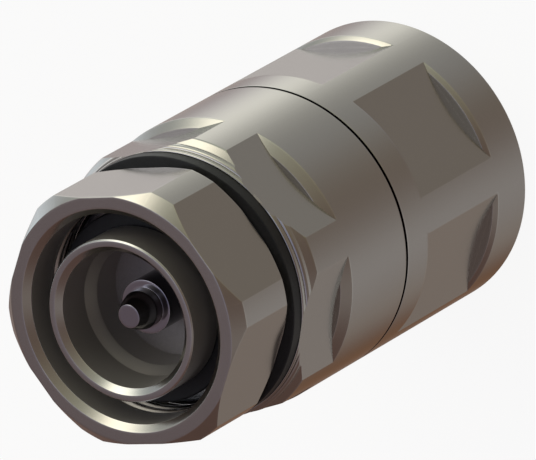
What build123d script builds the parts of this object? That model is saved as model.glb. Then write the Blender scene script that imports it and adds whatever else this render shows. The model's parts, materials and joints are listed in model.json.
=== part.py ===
from build123d import *
import math
import os

# Coaxial plug of the 7/16 size, standing on its rear end with its mating end up.
# Sizes are in millimetres. Heights are measured from the rear face, along +Z.

# Clearances and edges used all over
SEAT_GAP = 0.03
RUNNING_GAP = 0.08
FACE_GAP = 0.05
LEAD_IN = 0.6

# Whole plug
OVERALL_LENGTH = 65.5
SHELL_SLIT = 0.4

# Coupling nut, with the M29 x 1.5 thread as a plain bore
THREAD_MAJOR_R = 14.5
THREAD_PITCH = 1.5
RELIEF_LENGTH = 1.55
NUT_WALL = 1.5
NUT_CORNER_RISE = 1.59
NUT_LENGTH = 12.2
NUT_CHAMFER = 1.45
NUT_FLANGE_THICKNESS = 1.45

# Outer contact
RIM_STANDS_OUT = 0.1
SLEEVE_WALL = 1.66
SLEEVE_EDGE = 0.2
SLEEVE_MOUTH = 0.75
SLEEVE_BORE_DEPTH = 5.5
SLEEVE_UNDERCUT = 0.35
SLEEVE_UNDERCUT_PLAY = 0.25
TAPER_LENGTH = 1.54
TAPER_DEPTH = 0.93
LINE_BORE_LENGTH = 4.2
CONTACT_SHOULDER = 1.43
FLANGE_LENGTH = 3.2
CONTACT_O_RING_WIRE = 1.0
CONTACT_O_RING_PLAY = 0.5

# Centre pin and its insulator
PIN_TIP_R = 1.52
PIN_R = 2.5
PIN_SHOULDER = 1.02
PIN_SHANK_R = 2.9
PIN_TIP_DEPTH = 1.83
PIN_CONE_LENGTH = 2.52
PIN_CONE_SWELL = 0.09
PIN_STRAIGHT = 1.4
INSULATOR_SEAT = 1.32
INSULATOR_THICKNESS = 5.0

# Neck, gasket, seal ring and snap ring
GASKET_DEPTH = 5.8
GASKET_THICKNESS = 2.5
NECK_WALL = 1.9
NECK_CLEARANCE = 1.188
SEAL_RING_SPACE = 2.3
SEAL_RING_GAP = 0.2
SEAL_RING_INSET = 0.14
SEAL_RING_ROUND = 0.5
SNAP_RING_THICKNESS = 0.95
SNAP_RING_DEPTH = 0.65
SNAP_RING_HEIGHT = 1.1
SNAP_RING_SPLIT = 5.7

# Cable that the plug is made for
JACKET_R = 14.0
CONDUCTOR_R = 12.5
CORRUGATION_DEPTH = 0.65
FLARED_THICKNESS = 0.4

# Walls between the cable and the outside of the body
ENTRY_CLEARANCE = 0.25
COLLET_BORE_CLEARANCE = 0.15
COLLET_WALL = 1.8
COLLET_CLEARANCE = 0.15
SPIGOT_WALL = 1.4
SHELL_WALL = 1.5
BODY_OVER_NUT = 1.5
FLAT_DEPTH = 1.5

# Front body
BODY_CHAMFER = 0.9
BEAD_ROUND = 0.6
BODY_EDGE_LENGTH = 1.7
FRONT_FLAT_LENGTH = 7.95
FRONT_FLAT_BEVEL = 1.05
FRONT_FLAT_TURN = 8.8
FRONT_BODY_LENGTH = 21.89
NECK_FLOOR = 1.5
FLARE_SEAT_DEPTH = 1.2

# Rear nut
REAR_POCKET_BACK = 7.4
REAR_POCKET_LENGTH = 16.45
REAR_POCKET_BEVEL = 0.5
ENTRY_CHAMFER = 0.8
ENTRY_LENGTH = 3.4
REAR_EDGE = 0.3
WRENCH_SIDES = 6

# Thread between the two halves, as plain cylinders, and its O-ring
SHELL_PITCH = 1.5
SHELL_TURNS = 6
THREAD_RUN_OUT = 1.3
O_RING_RISE = 1.0
O_RING_LAND_LENGTH = 3.3
O_RING_WIRE = 1.5
O_RING_CLEARANCE = 0.1

# Stack of inner pieces behind the outer contact
SPACER_LENGTH = 11.0
SPACER_WALL = 1.5
BEAD_THICKNESS = 3.0
BEAD_HOLES = 6
BEAD_HOLE_R = 1.6
RETAINER_THICKNESS = 2.6
RETAINER_WALL = 1.3
BARREL_R = 4.55

# Clamping pieces
FLARE_LENGTH = 3.6
FLARE_BORE_R = 11.5
FLARE_NOSE = 0.4
FLARE_CONE = 2.0
COLLET_RIB_LENGTH = 1.6
COLLET_FLANGE_THICKNESS = 1.5
COLLET_FLANGE_CLEARANCE = 0.3
COLLET_SLOTS = 10
COLLET_SLOT_WIDTH = 1.0
COLLET_SLOT_FLOOR = 0.7
GARTER_WIRE = 1.1
GARTER_HEIGHT = 4.6
WASHER_THICKNESS = 1.2
WASHER_CLEARANCE = 0.7
SEAL_LIPS = 3
SEAL_LIP_DEPTH = 0.5
SEAL_CLEARANCE = 0.2
SEAL_BORE_CLEARANCE = 0.25
SLIP_WASHER_THICKNESS = 1.0

# Spring plug that enters the cable's inner conductor
PLUG_R = 3.75
PLUG_SWELL = 0.2
PLUG_BORE_R = 2.4
PLUG_LENGTH = 12.0
PLUG_TIP_LENGTH = 1.2
PLUG_SLOTS = 6
PLUG_SLOT_WIDTH = 0.6
PLUG_SLOT_LENGTH = 10.0

# Radii worked out from the sizes above
THREAD_MINOR_R = THREAD_MAJOR_R - 5 * math.sqrt(3) / 16 * THREAD_PITCH
NUT_FLAT_R = THREAD_MAJOR_R + NUT_WALL
NUT_CORNER_R = NUT_FLAT_R + NUT_CORNER_RISE
NECK_R = THREAD_MINOR_R - NECK_CLEARANCE
NECK_BORE_R = NECK_R - NECK_WALL
SLEEVE_R = NECK_BORE_R - SEAT_GAP
SLEEVE_UNDERCUT_R = SLEEVE_R - SLEEVE_UNDERCUT
SLEEVE_BORE_R = SLEEVE_R - SLEEVE_WALL
LINE_BORE_R = SLEEVE_BORE_R - TAPER_DEPTH
SNAP_RING_IN_R = NECK_R - SNAP_RING_DEPTH
SNAP_RING_OUT_R = NECK_R + SNAP_RING_HEIGHT
FLANGE_R = SLEEVE_R + CONTACT_SHOULDER
INNER_BORE_R = FLANGE_R + SEAT_GAP
INSULATOR_POCKET_R = LINE_BORE_R + INSULATOR_SEAT
CABLE_ENTRY_R = JACKET_R + ENTRY_CLEARANCE
COLLET_BORE_R = CONDUCTOR_R + COLLET_BORE_CLEARANCE
COLLET_R = COLLET_BORE_R + COLLET_WALL
SPIGOT_BORE_R = COLLET_R + COLLET_CLEARANCE
SHELL_THREAD_R = SPIGOT_BORE_R + SPIGOT_WALL
FLAT_R = max(SHELL_THREAD_R + SHELL_WALL, NUT_FLAT_R + BODY_OVER_NUT)
BODY_R = FLAT_R + FLAT_DEPTH
BEAD_R = BODY_R - BODY_CHAMFER
BODY_FACE_R = BEAD_R - BEAD_ROUND
SEAL_POCKET_R = SHELL_THREAD_R - FACE_GAP
SEAL_BORE_R = CABLE_ENTRY_R + SEAL_BORE_CLEARANCE
COLLET_FLANGE_R = SEAL_POCKET_R - SEAL_CLEARANCE
O_RING_BORE_R = SHELL_THREAD_R + O_RING_RISE

# Heights worked out from the sizes above
NUT_FRONT = OVERALL_LENGTH
NUT_REAR = NUT_FRONT - NUT_LENGTH
NUT_FLANGE_FRONT = NUT_REAR + NUT_FLANGE_THICKNESS
SNAP_RING_REAR = NUT_FLANGE_FRONT + FACE_GAP
GASKET_FRONT = NUT_FRONT - GASKET_DEPTH
NECK_FRONT = GASKET_FRONT - GASKET_THICKNESS
BODY_FRONT = NUT_REAR - SEAL_RING_SPACE
BODY_REAR = BODY_FRONT - FRONT_BODY_LENGTH
REAR_NUT_FRONT = BODY_REAR - SHELL_SLIT
INSULATOR_FRONT = NUT_FRONT - SLEEVE_BORE_DEPTH - TAPER_LENGTH - LINE_BORE_LENGTH
INSULATOR_REAR = INSULATOR_FRONT - INSULATOR_THICKNESS
CONTACT_SEAT = BODY_FRONT - NECK_FLOOR
CONTACT_REAR = CONTACT_SEAT - FLANGE_LENGTH
SPACER_REAR = CONTACT_REAR - SPACER_LENGTH
BEAD_REAR = SPACER_REAR - BEAD_THICKNESS
RETAINER_REAR = BEAD_REAR - RETAINER_THICKNESS
FLARE_FRONT = REAR_NUT_FRONT - FLARE_SEAT_DEPTH
FLARE_REAR = FLARE_FRONT - FLARE_LENGTH
O_RING_LAND_BACK = REAR_NUT_FRONT - O_RING_LAND_LENGTH
O_RING_HEIGHT = (O_RING_LAND_BACK + REAR_NUT_FRONT) / 2
SPIGOT_BACK = O_RING_LAND_BACK - LEAD_IN - SHELL_PITCH * SHELL_TURNS
FEMALE_THREAD_BACK = SPIGOT_BACK - THREAD_RUN_OUT
COLLET_FLANGE_TOP = SPIGOT_BACK - COLLET_FLANGE_CLEARANCE
COLLET_BOTTOM = COLLET_FLANGE_TOP - COLLET_FLANGE_THICKNESS
COLLET_TOP = FLARE_REAR - FLARED_THICKNESS
WASHER_BOTTOM = COLLET_BOTTOM - WASHER_THICKNESS
SLIP_WASHER_TOP = ENTRY_LENGTH + SLIP_WASHER_THICKNESS
SEAL_BOTTOM = SLIP_WASHER_TOP + FACE_GAP


def turned(*points):
    """Turn a closed outline of (radius, height) points about the axis."""
    outline = Polyline(*[(r, 0, z) for r, z in points], close=True)
    return revolve(make_face(outline), Axis.Z)


def ring(inner_r, outer_r, bottom, top):
    """Plain ring between two radii and two heights."""
    return turned((inner_r, bottom), (outer_r, bottom), (outer_r, top), (inner_r, top))


def disc(radius, bottom, top):
    """Plain disc on the axis."""
    return Pos(0, 0, bottom) * Cylinder(radius, top - bottom, align=(Align.CENTER, Align.CENTER, Align.MIN))


def around(shape, count, start=0.0):
    """Copies of a shape, evenly spaced about the axis."""
    return [Rot(0, 0, start + 360.0 * i / count) * shape for i in range(count)]


def flat_cutters(wall, top, bevel, turn=0.0):
    """Six cutters for wrench flats: blocks down to a wall whose edge has a turned 45 degree bevel."""
    reach = BODY_R + 1.0
    bevel_r = BODY_R - bevel
    low = wall - (reach - bevel_r)
    block = Pos(FLAT_R, 0, low) * Box(reach, 2 * reach, top - low, align=(Align.MIN, Align.CENTER, Align.MIN))
    keep = turned((0, low), (reach, low), (bevel_r, wall), (0, wall))
    return around(block - keep, WRENCH_SIDES, turn)


def slot_cutter(reach, width, bottom, top):
    """Cutter for one slot, from the axis outwards."""
    return Pos(0, 0, bottom) * Box(reach, width, top - bottom, align=(Align.MIN, Align.CENTER, Align.MIN))


def o_ring(outer_r, wire, height):
    """Rubber or spring ring of round section, with its outside at a radius."""
    return Pos(0, 0, height) * Torus(outer_r - wire / 2, wire / 2)


def make_coupling_nut():
    """Hexagon nut with turned corners, its thread's bore and the flange that the snap ring holds."""
    face_r = NUT_CORNER_R - NUT_CHAMFER
    hexagon = Pos(0, 0, NUT_REAR) * extrude(
        RegularPolygon(NUT_FLAT_R, 6, major_radius=False, rotation=30), NUT_LENGTH)
    envelope = turned((0, NUT_REAR), (face_r, NUT_REAR), (NUT_CORNER_R, NUT_REAR + NUT_CHAMFER),
                      (NUT_CORNER_R, NUT_FRONT - NUT_CHAMFER), (face_r, NUT_FRONT), (0, NUT_FRONT))
    thread_top = NUT_FRONT - (THREAD_MAJOR_R - THREAD_MINOR_R)
    thread_end = NUT_FLANGE_FRONT + RELIEF_LENGTH
    bore_r = NECK_R + RUNNING_GAP
    hollow = turned((0, NUT_REAR - 1), (bore_r, NUT_REAR - 1), (bore_r, NUT_FLANGE_FRONT),
                    (THREAD_MAJOR_R, NUT_FLANGE_FRONT), (THREAD_MAJOR_R, thread_end),
                    (THREAD_MINOR_R, thread_end), (THREAD_MINOR_R, thread_top),
                    (THREAD_MAJOR_R, NUT_FRONT), (THREAD_MAJOR_R, NUT_FRONT + 1), (0, NUT_FRONT + 1))
    return (hexagon & envelope) - hollow


def make_snap_ring():
    """Split ring in the neck's groove, which the nut's flange bears on."""
    top = SNAP_RING_REAR + SNAP_RING_THICKNESS
    whole = ring(SNAP_RING_IN_R, SNAP_RING_OUT_R, SNAP_RING_REAR, top)
    return whole - slot_cutter(SNAP_RING_OUT_R + 1, SNAP_RING_SPLIT, SNAP_RING_REAR - 1, top + 1)


def make_outer_contact():
    """Sleeve with a stepped and tapered bore, an undercut for the gasket, and a flange and a pocket behind."""
    rim = NUT_FRONT + RIM_STANDS_OUT
    taper_top = NUT_FRONT - SLEEVE_BORE_DEPTH
    groove_mid = (CONTACT_SEAT + CONTACT_REAR) / 2
    groove_half = (CONTACT_O_RING_WIRE + CONTACT_O_RING_PLAY) / 2
    groove_r = FLANGE_R - CONTACT_O_RING_WIRE - 2 * FACE_GAP
    return turned((SLEEVE_BORE_R, taper_top), (SLEEVE_BORE_R, rim - SLEEVE_MOUTH),
                  (SLEEVE_BORE_R + SLEEVE_MOUTH, rim), (SLEEVE_R - SLEEVE_EDGE, rim),
                  (SLEEVE_R, rim - SLEEVE_EDGE), (SLEEVE_R, GASKET_FRONT + SLEEVE_UNDERCUT_PLAY),
                  (SLEEVE_UNDERCUT_R, GASKET_FRONT + SLEEVE_UNDERCUT_PLAY), (SLEEVE_UNDERCUT_R, NECK_FRONT),
                  (SLEEVE_R, NECK_FRONT), (SLEEVE_R, CONTACT_SEAT), (FLANGE_R, CONTACT_SEAT),
                  (FLANGE_R, groove_mid + groove_half), (groove_r, groove_mid + groove_half),
                  (groove_r, groove_mid - groove_half), (FLANGE_R, groove_mid - groove_half),
                  (FLANGE_R, CONTACT_REAR), (INSULATOR_POCKET_R, CONTACT_REAR),
                  (INSULATOR_POCKET_R, INSULATOR_FRONT), (LINE_BORE_R, INSULATOR_FRONT),
                  (LINE_BORE_R, taper_top - TAPER_LENGTH))


def make_contact_o_ring():
    """Rubber ring in the groove of the outer contact's flange."""
    return o_ring(FLANGE_R - SEAT_GAP, CONTACT_O_RING_WIRE, (CONTACT_SEAT + CONTACT_REAR) / 2)


def make_centre_pin():
    """Pin with a slightly rounded cone at its tip, a shoulder, and a shank through the insulator."""
    tip = NUT_FRONT - PIN_TIP_DEPTH
    cone_end = tip - PIN_CONE_LENGTH
    shoulder = cone_end - PIN_STRAIGHT
    shoulder_r = PIN_R + PIN_SHOULDER
    middle_r = (PIN_TIP_R + PIN_R) / 2 + PIN_CONE_SWELL
    nose = ThreePointArc((PIN_TIP_R, 0, tip), (middle_r, 0, (tip + cone_end) / 2), (PIN_R, 0, cone_end))
    rest = Polyline((PIN_R, 0, cone_end), (PIN_R, 0, shoulder), (shoulder_r, 0, shoulder),
                    (shoulder_r, 0, INSULATOR_FRONT), (PIN_SHANK_R, 0, INSULATOR_FRONT),
                    (PIN_SHANK_R, 0, INSULATOR_REAR), (0, 0, INSULATOR_REAR), (0, 0, tip),
                    (PIN_TIP_R, 0, tip))
    return revolve(make_face([nose, rest]), Axis.Z)


def make_front_insulator():
    """Bead behind the sleeve's bore, held in the outer contact's pocket."""
    return ring(PIN_SHANK_R + SEAT_GAP, INSULATOR_POCKET_R - SEAT_GAP, INSULATOR_REAR, INSULATOR_FRONT)


def make_interface_gasket():
    """Rubber ring in the sleeve's undercut, seated on the end of the neck."""
    return ring(SLEEVE_UNDERCUT_R + SEAT_GAP, NECK_R, NECK_FRONT, GASKET_FRONT)


def make_nut_seal_ring():
    """Rubber ring round the neck, between the nut and the body, with rounded outer edges."""
    outer_r = NUT_CORNER_R - SEAL_RING_INSET
    whole = ring(NECK_R + SEAT_GAP, outer_r, BODY_FRONT, NUT_REAR - SEAL_RING_GAP)
    outer_edges = whole.edges().filter_by(GeomType.CIRCLE).sort_by(SortBy.RADIUS)[-2:]
    return fillet(outer_edges, SEAL_RING_ROUND)


def make_front_body():
    """Front half: neck, beaded front edge, six flats that run out forwards, and the rear spigot."""
    edge = BODY_FRONT - BODY_EDGE_LENGTH
    snap_top = SNAP_RING_REAR + SNAP_RING_THICKNESS + FACE_GAP
    snap_bottom = SNAP_RING_REAR - FACE_GAP
    snap_r = SNAP_RING_IN_R - SEAT_GAP
    land_r = O_RING_BORE_R - RUNNING_GAP
    root_r = O_RING_BORE_R - O_RING_CLEARANCE - O_RING_WIRE - SEAT_GAP
    groove_top = O_RING_HEIGHT + O_RING_WIRE / 2 + O_RING_CLEARANCE
    groove_bottom = O_RING_HEIGHT - O_RING_WIRE / 2 - O_RING_CLEARANCE
    front = [(NECK_BORE_R, NECK_FRONT), (NECK_R, NECK_FRONT), (NECK_R, snap_top), (snap_r, snap_top),
             (snap_r, snap_bottom), (NECK_R, snap_bottom), (NECK_R, BODY_FRONT), (BODY_FACE_R, BODY_FRONT)]
    back = [(BEAD_R, BODY_FRONT - BEAD_ROUND), (BEAD_R, edge + BODY_CHAMFER), (BODY_R, edge),
            (BODY_R, BODY_REAR), (land_r, BODY_REAR), (land_r, groove_top), (root_r, groove_top),
            (root_r, groove_bottom), (land_r, groove_bottom), (land_r, O_RING_LAND_BACK + LEAD_IN),
            (SHELL_THREAD_R, O_RING_LAND_BACK + LEAD_IN - (land_r - SHELL_THREAD_R)),
            (SHELL_THREAD_R, SPIGOT_BACK + LEAD_IN), (SHELL_THREAD_R - LEAD_IN, SPIGOT_BACK),
            (SPIGOT_BORE_R, SPIGOT_BACK), (SPIGOT_BORE_R, FLARE_FRONT), (INNER_BORE_R, FLARE_FRONT),
            (INNER_BORE_R, CONTACT_SEAT), (NECK_BORE_R, CONTACT_SEAT), (NECK_BORE_R, NECK_FRONT)]
    bend = BEAD_ROUND * math.sqrt(0.5)
    bead = ThreePointArc((BODY_FACE_R, 0, BODY_FRONT),
                         (BODY_FACE_R + bend, 0, BODY_FRONT - BEAD_ROUND + bend),
                         (BEAD_R, 0, BODY_FRONT - BEAD_ROUND))
    outline = [Polyline(*[(r, 0, z) for r, z in front]), bead, Polyline(*[(r, 0, z) for r, z in back])]
    body = revolve(make_face(outline), Axis.Z)
    wall = BODY_FRONT - FRONT_FLAT_LENGTH
    return body - flat_cutters(wall, BODY_FRONT + 1, FRONT_FLAT_BEVEL, FRONT_FLAT_TURN)


def make_shell_o_ring():
    """Rubber ring in the spigot's groove, which seals the two halves."""
    return o_ring(O_RING_BORE_R - O_RING_CLEARANCE, O_RING_WIRE, O_RING_HEIGHT)


def make_rear_nut():
    """Rear half: cable entry, seal pocket, female thread and six wrench pockets."""
    thread_r = SHELL_THREAD_R + RUNNING_GAP
    shell = turned((CABLE_ENTRY_R + ENTRY_CHAMFER, 0), (BODY_R - REAR_EDGE, 0), (BODY_R, REAR_EDGE),
                   (BODY_R, REAR_NUT_FRONT), (O_RING_BORE_R, REAR_NUT_FRONT),
                   (O_RING_BORE_R, O_RING_LAND_BACK), (thread_r, O_RING_LAND_BACK - LEAD_IN),
                   (thread_r, FEMALE_THREAD_BACK), (SEAL_POCKET_R, FEMALE_THREAD_BACK),
                   (SEAL_POCKET_R, ENTRY_LENGTH), (CABLE_ENTRY_R, ENTRY_LENGTH),
                   (CABLE_ENTRY_R, ENTRY_CHAMFER))
    pocket_front = REAR_POCKET_BACK + REAR_POCKET_LENGTH
    return shell - flat_cutters(REAR_POCKET_BACK, pocket_front, REAR_POCKET_BEVEL)


def make_spacer_sleeve():
    """Tube that carries the outer conductor from the outer contact to the rear insulator."""
    return ring(FLANGE_R - SPACER_WALL, FLANGE_R, SPACER_REAR, CONTACT_REAR)


def make_rear_insulator():
    """Bead with a ring of round holes, which carries the inner contact."""
    bead = ring(BARREL_R + SEAT_GAP, FLANGE_R, BEAD_REAR, SPACER_REAR)
    hole_circle_r = (BARREL_R + FLANGE_R) / 2
    hole = Pos(hole_circle_r, 0, 0) * disc(BEAD_HOLE_R, BEAD_REAR - 1, SPACER_REAR + 1)
    return bead - around(hole, BEAD_HOLES)


def make_retaining_ring():
    """Ring that closes the stack of inner pieces from behind."""
    return ring(FLANGE_R - RETAINER_WALL, FLANGE_R, RETAINER_REAR, BEAD_REAR)


def make_inner_contact():
    """Barrel behind the pin, ending in a slotted spring plug that swells near its tip."""
    tip = RETAINER_REAR - PLUG_LENGTH
    swell = tip + 2 * PLUG_TIP_LENGTH
    core = turned((0, INSULATOR_REAR), (BARREL_R, INSULATOR_REAR), (BARREL_R, RETAINER_REAR),
                  (PLUG_R, RETAINER_REAR), (PLUG_R, swell + PLUG_TIP_LENGTH), (PLUG_R + PLUG_SWELL, swell),
                  (PLUG_R + PLUG_SWELL, tip + PLUG_TIP_LENGTH), (PLUG_R - PLUG_TIP_LENGTH / 2, tip),
                  (PLUG_BORE_R, tip), (PLUG_BORE_R, tip + PLUG_SLOT_LENGTH), (0, tip + PLUG_SLOT_LENGTH))
    slot = slot_cutter(BARREL_R, PLUG_SLOT_WIDTH, tip - 1, tip + PLUG_SLOT_LENGTH)
    return core - around(slot, PLUG_SLOTS)


def make_flare_ring():
    """Ring with a turned cone behind, which the cable's flared conductor is clamped against."""
    outer = SPIGOT_BORE_R - SEAT_GAP
    return turned((FLARE_BORE_R, FLARE_FRONT), (outer, FLARE_FRONT), (outer, FLARE_REAR + FLARE_CONE),
                  (FLARE_BORE_R + FLARE_NOSE, FLARE_REAR), (FLARE_BORE_R, FLARE_REAR))


def make_clamp_collet():
    """Slotted collet with a rib for the corrugation, a groove for its spring and a flange behind."""
    nose_r = FLARE_BORE_R + FLARE_NOSE
    slope = FLARE_CONE / (SPIGOT_BORE_R - SEAT_GAP - nose_r)
    inner_top = COLLET_TOP + slope * (COLLET_BORE_R - nose_r)
    outer_top = COLLET_TOP + slope * (COLLET_R - nose_r)
    groove_r = COLLET_R - GARTER_WIRE - 2 * FACE_GAP
    groove_mid = COLLET_BOTTOM + GARTER_HEIGHT
    half = GARTER_WIRE / 2 + FACE_GAP
    rib_r = COLLET_BORE_R - CORRUGATION_DEPTH
    rib_top = inner_top - COLLET_RIB_LENGTH / 2
    rib_bottom = rib_top - COLLET_RIB_LENGTH
    ease = CORRUGATION_DEPTH / 2
    solid = turned((COLLET_BORE_R, COLLET_BOTTOM), (COLLET_FLANGE_R, COLLET_BOTTOM),
                   (COLLET_FLANGE_R, COLLET_FLANGE_TOP), (COLLET_R, COLLET_FLANGE_TOP),
                   (COLLET_R, groove_mid - half), (groove_r, groove_mid - half),
                   (groove_r, groove_mid + half), (COLLET_R, groove_mid + half), (COLLET_R, outer_top),
                   (COLLET_BORE_R, inner_top), (COLLET_BORE_R, rib_top + ease), (rib_r, rib_top - ease),
                   (rib_r, rib_bottom + ease), (COLLET_BORE_R, rib_bottom - ease))
    slot = slot_cutter(SPIGOT_BORE_R, COLLET_SLOT_WIDTH, COLLET_FLANGE_TOP + COLLET_SLOT_FLOOR, outer_top + 1)
    return solid - around(slot, COLLET_SLOTS)


def make_garter_spring():
    """Ring spring in the collet's groove."""
    return o_ring(COLLET_R - FACE_GAP, GARTER_WIRE, COLLET_BOTTOM + GARTER_HEIGHT)


def make_thrust_washer():
    """Washer that carries the rear nut's push to the collet."""
    return ring(CONDUCTOR_R + WASHER_CLEARANCE, COLLET_FLANGE_R, WASHER_BOTTOM, COLLET_BOTTOM)


def make_jacket_seal():
    """Rubber ring with lips inside that seal on the cable's jacket."""
    pitch = (WASHER_BOTTOM - SEAL_BOTTOM) / SEAL_LIPS
    groove_r = SEAL_BORE_R + SEAL_LIP_DEPTH
    lips = []
    for i in range(SEAL_LIPS):
        low = SEAL_BOTTOM + i * pitch
        lips += [(SEAL_BORE_R, low), (SEAL_BORE_R, low + 0.4 * pitch), (groove_r, low + 0.7 * pitch)]
    lips.append((SEAL_BORE_R, WASHER_BOTTOM))
    return turned(*lips, (COLLET_FLANGE_R, WASHER_BOTTOM), (COLLET_FLANGE_R, SEAL_BOTTOM))


def make_slip_washer():
    """Plastic washer that lets the seal turn on the rear nut."""
    return ring(SEAL_BORE_R, SEAL_POCKET_R - SEAT_GAP, ENTRY_LENGTH, SLIP_WASHER_TOP)


PIECES = {
    "coupling_nut": make_coupling_nut,
    "snap_ring": make_snap_ring,
    "outer_contact": make_outer_contact,
    "contact_o_ring": make_contact_o_ring,
    "centre_pin": make_centre_pin,
    "front_insulator": make_front_insulator,
    "interface_gasket": make_interface_gasket,
    "nut_seal_ring": make_nut_seal_ring,
    "front_body": make_front_body,
    "shell_o_ring": make_shell_o_ring,
    "spacer_sleeve": make_spacer_sleeve,
    "rear_insulator": make_rear_insulator,
    "retaining_ring": make_retaining_ring,
    "inner_contact": make_inner_contact,
    "flare_ring": make_flare_ring,
    "clamp_collet": make_clamp_collet,
    "garter_spring": make_garter_spring,
    "thrust_washer": make_thrust_washer,
    "jacket_seal": make_jacket_seal,
    "slip_washer": make_slip_washer,
    "rear_nut": make_rear_nut,
}

os.makedirs("parts", exist_ok=True)
for name, make in PIECES.items():
    export_step(make(), f"parts/{name}.step")
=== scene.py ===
"""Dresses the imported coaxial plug: surfaces, finishes, studio and the photograph's camera.

Every size in a class is in millimetres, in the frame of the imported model: the axis is Z, and heights are
measured from the rear face that the plug stands on. Meshes are written in metres.
"""

import json
import logging
import math
from dataclasses import dataclass
from enum import Enum
from typing import Sequence

import bpy
import numpy as np
from mathutils import Matrix, Vector


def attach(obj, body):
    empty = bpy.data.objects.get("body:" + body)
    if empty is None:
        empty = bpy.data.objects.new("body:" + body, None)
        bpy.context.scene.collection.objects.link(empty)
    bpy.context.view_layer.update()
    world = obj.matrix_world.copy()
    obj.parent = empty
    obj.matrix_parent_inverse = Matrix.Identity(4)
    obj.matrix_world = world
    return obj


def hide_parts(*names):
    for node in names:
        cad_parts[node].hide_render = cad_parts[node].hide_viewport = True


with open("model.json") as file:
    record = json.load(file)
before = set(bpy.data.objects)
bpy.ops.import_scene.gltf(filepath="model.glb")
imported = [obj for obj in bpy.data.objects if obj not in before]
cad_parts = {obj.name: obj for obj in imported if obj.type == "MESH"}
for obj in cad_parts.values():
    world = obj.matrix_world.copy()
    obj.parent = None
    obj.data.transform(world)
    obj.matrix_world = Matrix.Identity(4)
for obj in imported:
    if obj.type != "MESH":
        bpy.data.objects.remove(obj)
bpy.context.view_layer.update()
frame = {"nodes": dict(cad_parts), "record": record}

log = logging.getLogger("plug")

MM = 0.001
WELD = 1e-7
CREASE = math.radians(20.0)
WEAR_BAND = 0.28
ARC_STEPS = 5
SIXTH = math.tau / 6
SQUARE_TO_FLAT = 0.9999
ROUND_THE_AXIS = 0.8
LEVEL = 0.5
SIDE_WEAR = 0.6
CORNER_WEAR = 0.7
CREST_SHARE = 0.125
FLANK_END = 0.4375
BLACK = (0.0, 0.0, 0.0, 1.0)
WHITE = (1.0, 1.0, 1.0, 1.0)


# ---------------------------------------------------------------- surfaces


@dataclass
class Surface:
    """A closed grid of points round the axis, ready to be a mesh.

    points holds (stations, angles, 3) in millimetres, wear the nearness to an edge from 0 to 1, and soft
    is true where neighbouring facets always shade smoothly, as on a thread.
    """

    points: np.ndarray
    wear: np.ndarray
    soft: np.ndarray


def angle_samples(count: int, edges: Sequence[float] = (),
                  radius: float = 19.0) -> tuple[np.ndarray, np.ndarray]:
    """Angles round the axis: evenly spaced ones, each edge, and the end of its worn band on both sides.

    Args:
        count: how many evenly spaced angles.
        edges: angles that must be met exactly, in radians.
        radius: radius that turns the worn band's width into an angle.

    Returns:
        The sorted angles, and for each 1 on an edge and 0 elsewhere.
    """
    even = np.arange(count) * math.tau / count
    exact = np.mod(np.asarray(edges, float), math.tau)
    band = WEAR_BAND / radius
    beside = np.mod(np.concatenate([exact - band, exact + band]), math.tau)
    if exact.size:
        gap = np.abs(np.mod(even[:, None] - exact[None, :] + math.pi, math.tau) - math.pi).min(axis=1)
        even = even[gap > 1.2 * band]
    angles = np.concatenate([even, beside, exact])
    marks = np.concatenate([np.zeros(even.size + beside.size), np.ones(exact.size)])
    order = np.argsort(angles)
    return angles[order], marks[order]


def from_flat(angles: np.ndarray, turn: float = 0.0) -> np.ndarray:
    """Angle from the nearest of six flats: theta less its nearest multiple of 60 degrees, after the turn."""
    return np.mod(angles - turn + SIXTH / 2, SIXTH) - SIXTH / 2


def rounded(corners: np.ndarray, radii: Sequence[float]) -> tuple[np.ndarray, np.ndarray]:
    """Rounds the corners of closed outlines, all angles at once.

    A corner C with unit directions u back and v ahead becomes the circular arc from C + t u to C + t v,
    where t = R tan(turn / 2) and at most 0.45 of the shorter side. The arc is the conic with weight
    cos(turn / 2) at C. One more point on each side ends the band that wear reaches.

    Args:
        corners: (corners, angles, 2) radii and heights, counter-clockwise.
        radii: one rounding radius for each corner.

    Returns:
        Points (corners, points at each, angles, 2), and their wear without the last axis.
    """
    back = np.roll(corners, 1, axis=0) - corners
    ahead = np.roll(corners, -1, axis=0) - corners
    back_length = np.linalg.norm(back, axis=-1)
    ahead_length = np.linalg.norm(ahead, axis=-1)
    u = back / np.maximum(back_length, 1e-9)[..., None]
    v = ahead / np.maximum(ahead_length, 1e-9)[..., None]
    turn = math.pi - np.arccos(np.clip((u * v).sum(axis=-1), -1.0, 1.0))
    room = 0.45 * np.minimum(back_length, ahead_length)
    reach = np.minimum(np.asarray(radii, float)[:, None] * np.tan(np.minimum(turn, 3.0) / 2), room)
    start, end = corners + u * reach[..., None], corners + v * reach[..., None]
    weight = np.cos(turn / 2)[..., None]
    share = np.linspace(0.0, 1.0, ARC_STEPS + 1)
    rows = [corners + u * np.minimum(reach + WEAR_BAND, 0.49 * back_length)[..., None]]
    for s in share:
        a, b, c = (1 - s) ** 2, 2 * s * (1 - s) * weight, s**2
        rows.append((a * start + b * corners + c * end) / (a + b + c))
    rows.append(corners + v * np.minimum(reach + WEAR_BAND, 0.49 * ahead_length)[..., None])
    sharp = np.broadcast_to((turn > 0.3) & (room > 0.01), turn.shape)
    none = np.zeros_like(turn)
    wear = np.stack([none] + [np.where(sharp, 1.0, 0.0)] * share.size + [none], axis=1)
    return np.stack(rows, axis=1), wear


def outline(corners: Sequence[tuple], angles: np.ndarray) -> np.ndarray:
    """(radius, height) corners, each a number or one value for each angle, as (corners, angles, 2)."""
    def spread(value: object) -> np.ndarray:
        """One number, or one value for each angle, as the latter."""
        return np.broadcast_to(np.asarray(value, float), angles.shape)

    return np.stack([np.stack([spread(value) for value in corner], axis=-1) for corner in corners])


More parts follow.
